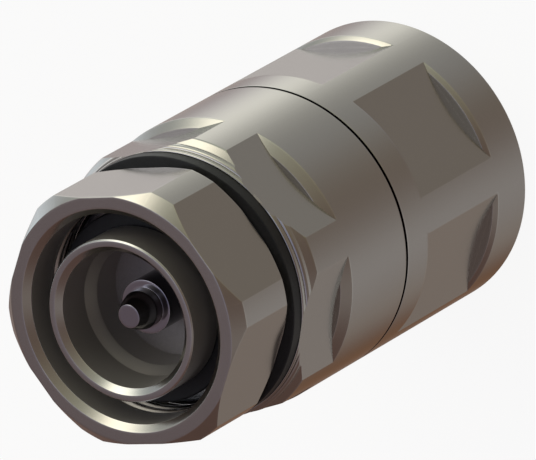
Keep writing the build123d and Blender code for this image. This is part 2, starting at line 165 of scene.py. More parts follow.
def swept(rows: np.ndarray, angles: np.ndarray, wear: np.ndarray,
          soft: np.ndarray | None = None) -> Surface:
    """Carries outlines round the axis: each (r, z) goes to (r cos theta, r sin theta, z)."""
    r, z = rows[..., 0], rows[..., 1]
    points = np.stack([r * np.cos(angles), r * np.sin(angles), z], axis=-1)
    return Surface(points, wear, np.zeros(r.shape, bool) if soft is None else soft)


def threaded(wall: np.ndarray, heights: np.ndarray) -> np.ndarray:
    """A thread's radii (heights, angles) with their heights, as rows of an outline."""
    return np.stack([wall, np.broadcast_to(heights[:, None], wall.shape)], axis=-1)


def joined(points: np.ndarray, wear: np.ndarray, parts: Sequence[tuple[slice | np.ndarray, bool]]) -> tuple:
    """Joins stretches of rounded corners with finished rows between them.

    Args:
        points: what rounded() gave.
        wear: its wear.
        parts: in order, (which corners or which finished rows, whether they shade smoothly).

    Returns:
        Rows (rows, angles, 2), their wear and their softness.
    """
    rows, worn, soft = [], [], []
    for part, smooth in parts:
        own = isinstance(part, slice)
        rows.append(points[part].reshape(-1, *points.shape[2:]) if own else part)
        worn.append(wear[part].reshape(-1, wear.shape[2]) if own else np.zeros(part.shape[:2]))
        soft.append(np.full(worn[-1].shape, smooth))
    return np.concatenate(rows), np.concatenate(worn), np.concatenate(soft)


def turned_surface(corners: Sequence[tuple[float, float]], radii: Sequence[float],
                   count: int = 256) -> Surface:
    """A turned ring or pin: one outline with rounded corners, the same at every angle."""
    angles, _ = angle_samples(count)
    points, wear = rounded(outline(corners, angles), radii)
    return swept(points.reshape(-1, angles.size, 2), angles, wear.reshape(-1, angles.size))


def screw_wall(angles: np.ndarray, heights: np.ndarray, crest: float, root: float,
               pitch: float) -> np.ndarray:
    """Radius of a right-hand 60 degree thread.

    The phase is z / pitch less theta over a turn. From the middle of the crest the radius stays at the
    crest for an eighth of the pitch (a quarter wide in all), changes evenly along the flank, and stays
    at the root for the last sixteenth.

    Args:
        angles: angles round the axis.
        heights: heights of the rows.
        crest: radius of the crests, towards the mating thread.
        root: radius at the bottom of the grooves.
        pitch: height of one turn.

    Returns:
        Radii (heights, angles).
    """
    phase = np.mod(heights[:, None] / pitch - angles[None, :] / math.tau, 1.0)
    away = np.abs(phase - 0.5)
    return crest + (root - crest) * np.clip((away - CREST_SHARE) / (FLANK_END - CREST_SHARE), 0.0, 1.0)


def collapse(quads: np.ndarray) -> tuple[np.ndarray, np.ndarray]:
    """Sorts welded quads: whole ones, and triangles from those with one side of no length. The rest go."""
    same = quads == np.roll(quads, -1, axis=1)
    folded = (quads[:, 0] == quads[:, 2]) | (quads[:, 1] == quads[:, 3])
    whole = quads[(same.sum(axis=1) == 0) & ~folded]
    one = (same.sum(axis=1) == 1) & ~folded
    first = np.argmax(same[one], axis=1)
    picks = (first[:, None] + np.array([1, 2, 3])) % 4
    return whole, np.take_along_axis(quads[one], picks, axis=1)


def to_object(name: str, surface: Surface, crease: float = CREASE) -> bpy.types.Object:
    """Welds a surface's grid, closes it both ways and makes it a mesh with its wear.

    Args:
        name: the object's name.
        surface: the grid, whose outline runs counter-clockwise, so faces point outwards.
        crease: faces that meet at more than this angle, in radians, show a sharp edge.

    Returns:
        The linked object, at the origin.
    """
    stations, columns = surface.points.shape[:2]
    flat = surface.points.reshape(-1, 3) * MM
    keys, index = np.unique(np.round(flat / WELD).astype(np.int64), axis=0, return_inverse=True)
    index = index.reshape(stations, columns)
    over, up = np.roll(index, -1, axis=1), np.roll(index, -1, axis=0)
    quads = np.stack([index, over, np.roll(over, -1, axis=0), up], axis=-1).reshape(-1, 4)
    whole, threes = collapse(quads)
    used = np.unique(np.concatenate([whole.ravel(), threes.ravel()]))
    place = np.full(len(keys), -1)
    place[used] = np.arange(used.size)
    wear = np.zeros(len(keys))
    np.maximum.at(wear, index.ravel(), surface.wear.ravel())
    soft = np.zeros(len(keys), bool)
    np.logical_or.at(soft, index.ravel(), surface.soft.ravel())
    mesh = bpy.data.meshes.new(name)
    mesh.from_pydata((keys[used] * WELD).tolist(), [], place[whole].tolist() + place[threes].tolist())
    mesh.shade_smooth()
    mesh.set_sharp_from_angle(angle=crease)
    smooth_over(mesh, soft[used])
    mesh.attributes.new("wear", "FLOAT", "POINT").data.foreach_set("value", wear[used].astype(np.float32))
    return link(bpy.data.objects.new(name, mesh))


def smooth_over(mesh: bpy.types.Mesh, soft: np.ndarray) -> None:
    """Takes the sharp mark off edges whose two ends are both soft."""
    if not soft.any() or "sharp_edge" not in mesh.attributes:
        return
    ends = np.empty(2 * len(mesh.edges), np.int32)
    mesh.edges.foreach_get("vertices", ends)
    sharp = np.empty(len(mesh.edges), bool)
    mesh.attributes["sharp_edge"].data.foreach_get("value", sharp)
    sharp &= ~soft[ends.reshape(-1, 2)].all(axis=1)
    mesh.attributes["sharp_edge"].data.foreach_set("value", sharp)


def face_vectors(obj: bpy.types.Object) -> tuple[np.ndarray, np.ndarray]:
    """Normals and centres of a piece's faces, each (faces, 3), the centres in metres."""
    polygons = obj.data.polygons
    values = np.empty((2, 3 * len(polygons)), np.float32)
    polygons.foreach_get("normal", values[0])
    polygons.foreach_get("center", values[1])
    normals, centres = values.reshape(2, -1, 3)
    return normals, centres


def mark_faces(obj: bpy.types.Object, name: str, marked: np.ndarray) -> None:
    """Writes a face attribute that is 1 on the marked faces, for the finishes to read."""
    obj.data.attributes.new(name, "FLOAT", "FACE").data.foreach_set("value", marked.astype(np.float32))


def mark_milled(obj: bpy.types.Object, turn: float) -> None:
    """Marks the faces that lie square to one of six flats, which the cutter left and not the lathe."""
    normals, _ = face_vectors(obj)
    around = turn + np.arange(6) * SIXTH
    along = normals[:, :1] * np.cos(around) + normals[:, 1:2] * np.sin(around)
    mark_faces(obj, "milled", along.max(axis=1) > SQUARE_TO_FLAT)


def mark_hollow_painted_light(obj: bpy.types.Object, outward: bool = False) -> None:
    """Marks walls round the axis that lie in the plug's hollows, which the finishes paint with light and
    shade: paler walls on the plated pieces, darker sides on the pin.

    Args:
        obj: the piece.
        outward: true for a piece that stands in a hollow, whose walls that look away from the axis count too.
    """
    normals, centres = face_vectors(obj)
    radius = np.maximum(np.hypot(centres[:, 0], centres[:, 1]), 1e-9)
    along = (normals[:, 0] * centres[:, 0] + normals[:, 1] * centres[:, 1]) / radius
    mark_faces(obj, "hollow_painted_light", (np.abs(along) if outward else -along) > ROUND_THE_AXIS)


def mark_painted_joint_shade(obj: bpy.types.Object, low: float, high: float, least_r: float) -> None:
    """Marks the faces that a narrow joint hides, between two heights and outside a radius, in millimetres, for
    the finishes to paint near black as painted shade in the joint.
    """
    normals, centres = face_vectors(obj)
    radius = np.hypot(centres[:, 0], centres[:, 1]) / MM
    height = centres[:, 2] / MM
    flat = np.abs(normals[:, 2]) > LEVEL
    mark_faces(obj, "painted_joint_shade", flat & (height > low) & (height < high) & (radius > least_r))


# ---------------------------------------------------------------- finishes


def link(obj: bpy.types.Object) -> bpy.types.Object:
    """Puts an object into the scene."""
    bpy.context.scene.collection.objects.link(obj)
    return obj


def blank(owner: bpy.types.Material | bpy.types.World) -> "Wire":
    """Empties the nodes of a new material or world.

    Args:
        owner: the material or world.

    Returns:
        A Wire on its tree.
    """
    owner.use_nodes = True
    owner.node_tree.nodes.clear()
    return Wire(owner.node_tree)


class Wire:
    """Places nodes in a tree and links them, with short calls."""

    def __init__(self, tree: bpy.types.NodeTree) -> None:
        """Keeps the tree."""
        self.tree = tree

    def add(self, kind: str, **settings: object) -> bpy.types.Node:
        """Adds a node, with its properties set by name."""
        node = self.tree.nodes.new(kind)
        for key, value in settings.items():
            setattr(node, key, value)
        return node

    def feed(self, socket: bpy.types.NodeSocket, value: object) -> None:
        """Links an output to a socket, or sets the socket's own value."""
        if isinstance(value, bpy.types.NodeSocket):
            self.tree.links.new(value, socket)
        else:
            socket.default_value = value

    def math(self, operation: str, *values: object) -> bpy.types.NodeSocket:
        """One Math node on numbers or outputs."""
        node = self.add("ShaderNodeMath", operation=operation)
        for i, value in enumerate(values):
            self.feed(node.inputs[i], value)
        return node.outputs[0]

    def times(self, a: object, b: object) -> bpy.types.NodeSocket:
        """a times b."""
        return self.math("MULTIPLY", a, b)

    def plus(self, a: object, b: object) -> bpy.types.NodeSocket:
        """a plus b."""
        return self.math("ADD", a, b)

    def between(self, value: object, low: object, high: object, start: float = 0.0,
                end: float = 1.0) -> bpy.types.NodeSocket:
        """Map Range from start..end to low..high, clamped."""
        node = self.add("ShaderNodeMapRange")
        for socket, item in zip(node.inputs, (value, start, end, low, high)):
            self.feed(socket, item)
        return node.outputs[0]

    def mix(self, factor: object, a: object, b: object) -> bpy.types.NodeSocket:
        """Mix two colours by a factor."""
        node = self.add("ShaderNodeMix", data_type="RGBA")
        for socket, item in zip((node.inputs[0], node.inputs[6], node.inputs[7]), (factor, a, b)):
            self.feed(socket, item)
        return node.outputs[2]

    def attribute(self, name: str) -> bpy.types.NodeSocket:
        """A number that the mesh carries, 0 where it has none."""
        return self.add("ShaderNodeAttribute", attribute_name=name).outputs["Fac"]

    def noise(self, where: object, scale: object, detail: float = 2.0,
              roughness: float = 0.5) -> bpy.types.NodeSocket:
        """Three-dimensional noise, from 0 to 1."""
        node = self.add("ShaderNodeTexNoise")
        for key, item in (("Vector", where), ("Scale", scale), ("Detail", detail), ("Roughness", roughness)):
            self.feed(node.inputs[key], item)
        return node.outputs["Fac"]


def new_group(name: str, inputs: Sequence[tuple[str, str, object]], outputs: Sequence[str]) -> tuple:
    """Starts a shader node group.

    Args:
        name: the group's name.
        inputs: (name, socket kind, start value) of each input.
        outputs: names of the number outputs.

    Returns:
        The group, its Wire, the group input node and the group output node.
    """
    group = bpy.data.node_groups.new(name, "ShaderNodeTree")
    for label, kind, value in inputs:
        socket = group.interface.new_socket(name=label, in_out="INPUT", socket_type=kind)
        if value is not None:
            socket.default_value = value
    for label in outputs:
        group.interface.new_socket(name=label, in_out="OUTPUT", socket_type="NodeSocketFloat")
    wire = Wire(group)
    return group, wire, wire.add("NodeGroupInput"), wire.add("NodeGroupOutput")


class Effects:
    """The shader groups that several finishes share."""

    def __init__(self) -> None:
        """Builds every group once."""
        self.grain = self._grain()
        self.marks = self._marks()
        self.edges = self._edges()
        self.handling = self._handling()

    @staticmethod
    def _grain() -> bpy.types.NodeTree:
        """Even, fine grain of a blasted and plated surface: two noises, the finer one weaker."""
        group, wire, given, out = new_group("fine grain", [("Position", "NodeSocketVector", None),
                                                           ("Grains per metre", "NodeSocketFloat", 7000.0)],
                                            ["Height", "Shade"])
        fine = wire.noise(given.outputs[0], given.outputs[1], 1.0)
        coarse = wire.noise(given.outputs[0], wire.times(given.outputs[1], 0.31), 2.0)
        both = wire.plus(wire.times(fine, 0.6), wire.times(coarse, 0.4))
        wire.feed(out.inputs["Height"], both)
        wire.feed(out.inputs["Shade"], wire.between(both, 0.0, 1.0, 0.35, 0.65))
        return group

    @staticmethod
    def _marks() -> bpy.types.NodeTree:
        """Turning marks: noise along r + 0.61 z, so that walls, faces and cones all carry rings."""
        group, wire, given, out = new_group("turning marks", [("Position", "NodeSocketVector", None),
                                                              ("Marks per metre", "NodeSocketFloat", 9000.0),
                                                              ("Amount", "NodeSocketFloat", 1.0)], ["Height"])
        parts = wire.add("ShaderNodeSeparateXYZ")
        wire.feed(parts.inputs[0], given.outputs[0])
        x, y, z = parts.outputs
        radius = wire.math("SQRT", wire.plus(wire.times(x, x), wire.times(y, y)))
        along = wire.plus(radius, wire.times(z, 0.61))
        rings = wire.add("ShaderNodeTexNoise", noise_dimensions="1D")
        wire.feed(rings.inputs["W"], along)
        wire.feed(rings.inputs["Scale"], given.outputs[1])
        wire.feed(rings.inputs["Detail"], 2.0)
        wire.feed(out.inputs["Height"], wire.times(rings.outputs["Fac"], given.outputs[2]))
        return group

    @staticmethod
    def _edges() -> bpy.types.NodeTree:
        """Rubbed edges: the mesh's nearness to an edge, broken up by noise."""
        group, wire, given, out = new_group("rubbed edges", [("Position", "NodeSocketVector", None),
                                                             ("Nearness", "NodeSocketFloat", 0.0),
                                                             ("Strength", "NodeSocketFloat", 0.5)], ["Mask"])
        patchy = wire.between(wire.noise(given.outputs[0], 900.0, 3.0), 0.25, 1.0, 0.35, 0.7)
        near = wire.math("POWER", given.outputs[1], 1.6)
        rubbed = wire.times(near, patchy)
        wire.feed(out.inputs["Mask"], wire.times(rubbed, given.outputs[2]))
        return group

    @staticmethod
    def _handling() -> bpy.types.NodeTree:
        """Broad soft smudges where the part was handled: slow noise over fingertip distances."""
        group, wire, given, out = new_group("handling", [("Position", "NodeSocketVector", None)], ["Smudge"])
        broad = wire.noise(given.outputs[0], 85.0, 3.0, 0.55)
        wire.feed(out.inputs["Smudge"], wire.between(broad, 0.0, 1.0, 0.32, 0.68))
        return group


EFFECTS = Effects()
# Near-black colour for the faces inside the joint between the body's halves: painted shade.
PAINTED_JOINT_SHADE = (0.01, 0.01, 0.01, 1.0)
MILLED_SMOOTHER = 0.85


@dataclass(frozen=True)
class Finish:
    """One finish: its colour, gloss and grain. Lengths are in metres, as the shader reads them.

    The hollow fields hold for walls in hollows: their colour, what their roughness gains, and the share of the
    metallic value that they keep. That colour and the lower metallic share are painted light: the plated
    pieces' hollows show paler, and the pin's sides darker, as painted shade.
    """

    name: str
    colour: tuple[float, float, float]
    worn: tuple[float, float, float]
    metallic: float
    roughness: float
    roughness_play: float
    grains: float
    grain_height: float
    grain_tint: float
    marks: float
    mark_height: float
    rub: float
    hollow: tuple[float, float, float] = (0.5, 0.5, 0.5)
    hollow_roughness: float = 0.0
    hollow_metallic: float = 1.0
    specular: float = 0.5

    def material(self) -> bpy.types.Material:
        """The finish as a material, built once.

        Returns:
            The material, whose colour, roughness and bump come from the shared groups.
        """
        label = f"{self.name}_finish"
        if label in bpy.data.materials:
            return bpy.data.materials[label]
        material = bpy.data.materials.new(label)
        wire = blank(material)
        where = wire.add("ShaderNodeTexCoord").outputs["Object"]
        grain = self._placed(wire, EFFECTS.grain, where, {1: self.grains})
        milled = wire.attribute("milled")
        lathe = wire.math("SUBTRACT", 1.0, wire.times(milled, MILLED_SMOOTHER))
        hollow_painted_light = wire.attribute("hollow_painted_light")
        marks = self._placed(wire, EFFECTS.marks, where, {1: self.marks, 2: lathe})
        near = wire.attribute("wear")
        rubbed = self._placed(wire, EFFECTS.edges, where, {1: near, 2: self.rub}).outputs["Mask"]
        smudge = self._placed(wire, EFFECTS.handling, where, {}).outputs["Smudge"]
        dark = tuple(c * (1.0 - self.grain_tint) for c in self.colour) + (1.0,)
        light = tuple(min(1.0, c * (1.0 + self.grain_tint)) for c in self.colour) + (1.0,)
        base = wire.mix(grain.outputs["Shade"], dark, light)
        base = wire.mix(rubbed, base, self.worn + (1.0,))
        # Painted light in hollows: marked walls take the hollow colour, paler on the plated pieces and darker
        # on the pin.
        base = wire.mix(hollow_painted_light, base, self.hollow + (1.0,))
        # Painted shade: the faces inside the joint between the body's halves go near black.
        base = wire.mix(wire.attribute("painted_joint_shade"), base, PAINTED_JOINT_SHADE)
        play = self.roughness_play
        rough = wire.between(smudge, self.roughness - play, self.roughness + play)
        uneven = wire.math("SUBTRACT", grain.outputs["Shade"], 0.5)
        rough = wire.plus(rough, wire.times(uneven, play))
        rough = wire.plus(rough, wire.times(hollow_painted_light, self.hollow_roughness))
        deep = wire.times(lathe, self.grain_height)
        grain_height = wire.times(grain.outputs["Height"], deep)
        ring_height = wire.times(marks.outputs["Height"], self.mark_height)
        height = wire.plus(grain_height, ring_height)
        bump = wire.add("ShaderNodeBump")
        wire.feed(bump.inputs["Strength"], 1.0)
        wire.feed(bump.inputs["Distance"], 1.0)
        wire.feed(bump.inputs["Height"], height)
        shader = wire.add("ShaderNodeBsdfPrincipled")
        wire.feed(shader.inputs["Base Color"], base)
        # Walls in hollows keep only part of the metallic value, which pales them further: painted light.
        in_hollow = self.metallic * self.hollow_metallic
        wire.feed(shader.inputs["Metallic"], wire.between(hollow_painted_light, self.metallic, in_hollow))
        wire.feed(shader.inputs["Roughness"], rough)
        wire.feed(shader.inputs["Specular IOR Level"], self.specular)
        wire.feed(shader.inputs["Normal"], bump.outputs["Normal"])
        wire.feed(wire.add("ShaderNodeOutputMaterial").inputs["Surface"], shader.outputs[0])
        return material

    @staticmethod
    def _placed(wire: Wire, group: bpy.types.NodeTree, where: object,
                values: dict[int, object]) -> bpy.types.Node:
        """One shared group in this material, with its own values."""
        node = wire.add("ShaderNodeGroup", node_tree=group)
        wire.feed(node.inputs[0], where)
        for i, value in values.items():
            wire.feed(node.inputs[i], value)
        return node


class Slot(Enum):
    """The record's material slots and the finish of each."""

    # The hollow colours below are painted light: paler on the plated pieces' inner walls, and near black on
    # the pin's sides as painted shade.
    PLATED_NUT = Finish("plated_nut", (0.320, 0.302, 0.281), (0.42, 0.40, 0.37), 1.0, 0.17, 0.02,
                        6500.0, 1.8e-6, 0.012, 8000.0, 0.35e-6, 0.35, (0.34, 0.32, 0.30), 0.3, 0.6)
    PLATED_BODY = Finish("plated_body", (0.320, 0.302, 0.281), (0.42, 0.40, 0.37), 1.0, 0.18, 0.02,
                         6000.0, 2.2e-6, 0.015, 7000.0, 0.35e-6, 0.35, (0.34, 0.32, 0.30), 0.3, 0.6)
    PLATED_CONTACT = Finish("plated_contact", (0.335, 0.325, 0.315), (0.44, 0.42, 0.40), 1.0, 0.14, 0.02,
                            7500.0, 0.8e-6, 0.012, 9000.0, 0.3e-6, 0.3, (0.34, 0.32, 0.30), 0.26, 0.75)
    POLISHED_PIN = Finish("polished_pin", (0.26, 0.245, 0.27), (0.36, 0.34, 0.36), 1.0, 0.11, 0.02,
                          8000.0, 0.3e-6, 0.010, 9000.0, 0.2e-6, 0.2, (0.07, 0.068, 0.075), 0.05)
    BARE_BRASS = Finish("bare_brass", (0.60, 0.45, 0.23), (0.70, 0.56, 0.34), 1.0, 0.25, 0.03,
                        6500.0, 1.2e-6, 0.03, 7000.0, 1.0e-6, 0.4)
    SPRING_STEEL = Finish("spring_steel", (0.45, 0.45, 0.46), (0.58, 0.58, 0.58), 1.0, 0.22, 0.03,
                          8000.0, 0.8e-6, 0.02, 9000.0, 0.4e-6, 0.3)
    GREY_PLASTIC = Finish("grey_plastic", (0.22, 0.20, 0.19), (0.24, 0.22, 0.21), 0.5, 0.42, 0.04,
                          6000.0, 4.0e-6, 0.06, 7000.0, 0.6e-6, 0.2)
    WHITE_PLASTIC = Finish("white_plastic", (0.80, 0.79, 0.76), (0.84, 0.83, 0.80), 0.0, 0.42, 0.05,
                           5000.0, 2.0e-6, 0.03, 6000.0, 2.0e-6, 0.2)
    BLACK_PLASTIC = Finish("black_plastic", (0.045, 0.045, 0.045), (0.09, 0.09, 0.09), 0.0, 0.45, 0.06,
                           5000.0, 3.0e-6, 0.10, 6000.0, 1.0e-6, 0.3)
    BLACK_RUBBER = Finish("black_rubber", (0.008, 0.008, 0.0085), (0.015, 0.015, 0.015), 0.0, 0.50, 0.06,
                          4600.0, 40.0e-6, 0.3, 4000.0, 1.0e-6, 0.4, specular=0.28)

    @property
    def slot(self) -> str:
        """The record's name of the slot."""
        return self.value.name


def dress(obj: bpy.types.Object, slot: Slot, body: str, *nodes: str) -> bpy.types.Object:
    """Gives a new piece its finish, its body and the nodes it stands for, and reports it.

    Args:
        obj: the piece.
        slot: its material slot.
        body: the CAD body it rides on.
        nodes: CAD nodes that it replaces.

    Returns:
        The same piece.
    """
    obj.data.materials.clear()
    obj.data.materials.append(slot.value.material())
    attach(obj, body)
    if nodes:
        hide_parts(*nodes)
    log.info("%s: %d faces, rides on %s", obj.name, len(obj.data.polygons), body)
    return obj


# ---------------------------------------------------------------- pieces


@dataclass
class CouplingNut:
    """Hexagon nut with turned corners and the M29 x 1.5 thread that pulls the two connectors together."""

    front: float = 65.5
    rear: float = 53.3
    flat_r: float = 16.0
    corner_r: float = 17.59
    chamfer: float = 1.45
    major_r: float = 14.5
    minor_r: float = 13.688
    pitch: float = 1.5
    thread_front: float = 60.4
    least_bevel: float = 0.06
    thread_back: float = 56.3
    flange_front: float = 54.75
    bore_r: float = 12.58
    thread_rows: int = 110

    def build(self) -> bpy.types.Object:
        """The nut's surface.

        Outside, r = min(flat / cos d, corner) with d the angle from the nearest flat, and each end's
        chamfer starts where r passes the face radius. Inside, a 45 degree lead-in ends at the crests'
        radius; the grooves deepen from nothing over one millimetre and run out into the relief.

        Returns:
            The dressed piece.
        """
        face_r = self.corner_r - self.chamfer
        strip = math.acos(self.flat_r / self.corner_r)
        chord = math.acos(self.flat_r / face_r)
        edges = [k * SIXTH + side * a for k in range(6) for side in (-1, 1) for a in (strip, chord)]
        angles, marks = angle_samples(240, edges, self.corner_r)
        on_strip = np.isclose(np.abs(from_flat(angles)), strip)
        r = np.minimum(self.flat_r / np.cos(from_flat(angles)), self.corner_r)
        cut = np.maximum(self.least_bevel, r - face_r)
        mouth = self.front - (self.major_r - self.minor_r)
        corners = outline([
            (self.bore_r, self.rear), (r - cut, self.rear), (r, self.rear + cut), (r, self.front - cut),
            (r - cut, self.front), (self.major_r, self.front), (self.minor_r, mouth),
            (self.major_r, self.flange_front), (self.bore_r, self.flange_front)], angles)
        radii = (0.15, 0.1, 0.1, 0.1, 0.1, 0.08, 0.0, 0.2, 0.1)
        points, wear = rounded(corners, radii)
        heights = np.linspace(mouth - 0.01, self.thread_back - 0.6, self.thread_rows)
        wall = screw_wall(angles, heights, self.minor_r, self.major_r, self.pitch)
        wall = self.minor_r + (wall - self.minor_r) * np.clip(self.thread_front - heights, 0.0, 1.0)[:, None]
        run_out = self.major_r - 0.9 * (heights - self.thread_back)
        wall = np.minimum(np.maximum(wall, run_out[:, None]), self.major_r)
        before = 7
        rows, worn, soft = joined(points, wear, (
            (slice(0, before), False), (threaded(wall, heights), True), (slice(before, None), False)))
        outside = (rows[..., 0] > self.flat_r - 0.01) & on_strip[None, :]
        worn = np.maximum(worn, np.where(outside, marks[None, :] * CORNER_WEAR, 0.0))
        nut = to_object("coupling_nut_finished", swept(rows, angles, worn, soft))
        mark_milled(nut, 0.0)
        mark_hollow_painted_light(nut)
        return dress(nut, Slot.PLATED_NUT, "nut", "coupling_nut")


class Flats:
    """Six flats milled into a round body, each ending behind in a wall with a turned 45 degree bevel.

    limit holds the radius that the flats leave at each angle: f = flat / cos d, with d the angle from the
    nearest flat's middle, and the body's radius between the flats.
    """

    def __init__(self, body_r: float, flat_r: float, wall: float, bevel: float, turn: float = 0.0,
                 also: tuple[float, ...] = ()) -> None:
        """Samples the angles so that the flats' sides fall on them.

        Args:
            body_r: radius of the round body.
            flat_r: distance of the flats from the axis.
            wall: height of the wall behind.
            bevel: width of the bevel.
            turn: angle of the first flat, in radians.
            also: more radii whose crossings with the flats must be met exactly.
        """
        self.body_r, self.wall, self.bevel = body_r, wall, bevel
        half = math.acos(flat_r / body_r)
        reach = [math.acos(flat_r / r) for r in (body_r, body_r - bevel) + also]
        edges = [turn + k * SIXTH + side * a for k in range(6) for side in (-1, 1) for a in reach]
        self.angles, self.marks = angle_samples(240, edges, body_r)
        away = np.abs(from_flat(self.angles, turn))
        self.limit = np.where(away < half, flat_r / np.cos(np.minimum(away, half)), body_r)
        self.on_side = np.isclose(away, half)

    def rear_corners(self) -> list[tuple]:
        """The bevel's outline: its start on the body, the cone up to the flat's limit, and the wall's foot."""
        inner_r = self.body_r - self.bevel
        at = np.maximum(inner_r, self.limit)
        height = self.wall - self.bevel + (self.body_r - at)
        foot = np.where(self.limit < inner_r, self.wall, height)
        return [(self.body_r, self.wall - self.bevel), (at, height), (self.limit, foot)]

    def rub_sides(self, worn: np.ndarray, where: np.ndarray) -> np.ndarray:
        """Adds wear along the flats' sides to the points picked by where."""
        beside = self.on_side[None, :] & where
        return np.maximum(worn, np.where(beside, self.marks[None, :] * SIDE_WEAR, 0.0))


@dataclass
class FrontBody:
    """Front half of the body: beaded edge, six flats that run out forwards, neck and threaded spigot."""

    front: float = 51.0
    rear: float = 29.11
    body_r: float = 19.0
    flat_r: float = 17.5
    flat_turn: float = math.radians(8.8)
    flat_wall: float = 43.05
    flat_bevel: float = 1.05
    bead_r: float = 18.17
    edge_low: float = 49.06
    edge_bends: tuple[tuple[float, float, float], ...] = (
        (0, 45, 0.31), (45, 45, 0.94), (45, 4, 0.06), (4, 4, 0.28), (4, 78, 0.62), (78, 4, 0.06),
        (4, 4, 0.40), (4, 85, 0.33))
    steps: int = 12
    guard: float = 0.04
    crease: float = math.radians(9.0)
    neck_r: float = 12.5
    neck_front: float = 57.2
    neck_bore_r: float = 10.6
    snap_r: float = 11.82
    snap_top: float = 55.8
    snap_bottom: float = 54.75
    seat: float = 49.5
    inner_r: float = 12.03
    flare_front: float = 27.51
    spigot_bore_r: float = 14.6
    spigot_back: float = 15.81
    thread_r: float = 16.0
    thread_root_r: float = 15.2
    pitch: float = 1.5
    land_r: float = 16.92
    land_back: float = 25.41
    groove_r: float = 15.37
    groove_low: float = 26.21
    groove_high: float = 27.91
    lead: float = 0.6
    thread_rows: int = 110

    def build(self) -> bpy.types.Object:
        """The front half's surface.

        In front a flat runs out through the chamfer, the bead and the lip round the seal ring. Their
        radius only falls, so each point beyond the flat's limit f moves to the height where they pass it.

        Returns:
            The dressed piece.
        """
        flats = Flats(self.body_r, self.flat_r, self.flat_wall, self.flat_bevel, self.flat_turn,
                      (self.bead_r,))
        angles, f = flats.angles, flats.limit
        edge_r, edge_z = self._front_edge()
        run_out = np.interp(-f, -edge_r, edge_z)
        low = outline([
            (self.spigot_bore_r, self.spigot_back), (self.thread_r - self.lead, self.spigot_back),
            (self.thread_r, self.spigot_back + self.lead)], angles)
        corners = [
            (self.thread_r, self.land_back + self.lead - (self.land_r - self.thread_r)),
            (self.land_r, self.land_back + self.lead), (self.land_r, self.groove_low),
            (self.groove_r, self.groove_low), (self.groove_r, self.groove_high),
            (self.land_r, self.groove_high), (self.land_r, self.rear), (self.body_r, self.rear),
            *flats.rear_corners()]
        sizes = [0.0, 0.1, 0.05, 0.05, 0.05, 0.05, 0.05, 0.1, 0.12, 0.08, 0.0]
        height = np.where(edge_r[:, None] > f, run_out, edge_z[:, None])
        edge = np.stack([np.minimum(edge_r[:, None], f), height], axis=-1)
        guard = np.stack([f, run_out - self.guard], axis=-1)
        before = 3 + len(corners)
        edge = np.concatenate([guard[None], edge])
        corners += [(guard[:, 0], guard[:, 1]), (edge[-1, :, 0], edge[-1, :, 1]),
                    (edge_r[-1], self.front), (self.neck_r, self.front),
                    (self.neck_r, self.snap_bottom), (self.snap_r, self.snap_bottom),
                    (self.snap_r, self.snap_top), (self.neck_r, self.snap_top),
                    (self.neck_r, self.neck_front), (self.neck_bore_r, self.neck_front),
                    (self.neck_bore_r, self.seat), (self.inner_r, self.seat),
                    (self.inner_r, self.flare_front), (self.spigot_bore_r, self.flare_front)]
        sizes += [0.0, 0.0, 0.0, 0.15, 0.0, 0.0, 0.0, 0.0, 0.12, 0.08, 0.0, 0.0, 0.05, 0.05]
        points, wear = rounded(np.concatenate([low, outline(corners, angles)]), [0.05, 0.1, 0.1] + sizes)
        heights = np.linspace(self.spigot_back + self.lead + 0.3, self.land_back - 0.4, self.thread_rows)
        wall = screw_wall(angles, heights, self.thread_r, self.thread_root_r, self.pitch)
        fade = np.clip(np.minimum(heights - heights[0], heights[-1] - heights) / 0.6, 0.0, 1.0)
        wall = self.thread_r - (self.thread_r - wall) * fade[:, None]
        rows, worn, soft = joined(points, wear, (
            (slice(0, 3), False), (threaded(wall, heights), True), (slice(3, before), False),
            (edge, False), (slice(before + 2, None), False)))
        in_flat = rows[..., 1] > self.flat_wall - 1.0
        worn = flats.rub_sides(worn, (rows[..., 0] > self.body_r - 0.9) & in_flat)
        body = to_object("front_body_finished", swept(rows, angles, worn, soft), self.crease)
        mark_milled(body, self.flat_turn)
        mark_hollow_painted_light(body)
        # Painted shade on the end face inside the joint.
        mark_painted_joint_shade(body, self.rear - 0.05, self.rear + 0.15, self.land_r - 0.1)
        return dress(body, Slot.PLATED_BODY, "front_shell", "front_body")

    def _front_edge(self) -> tuple[np.ndarray, np.ndarray]:
        """Radii and heights of the front edge: chamfer, bead and lip, each running softly into the next.

        Each bend is (tilt at its start, tilt at its end, length): the wall leans inwards by the tilt, in
        degrees, which changes evenly along the length. So r falls by sin(tilt) and z rises by cos(tilt)
        for each millimetre along the wall.
        """
        steps = self.steps
        share = (np.arange(steps) + 0.5) / steps
        tilt = np.radians(np.concatenate([a + (b - a) * share for a, b, _ in self.edge_bends]))
        length = np.repeat([c / steps for _, _, c in self.edge_bends], steps)
        r = self.body_r - np.concatenate([[0.0], np.cumsum(np.sin(tilt) * length)])
        z = self.edge_low + np.concatenate([[0.0], np.cumsum(np.cos(tilt) * length)])
        return r, z


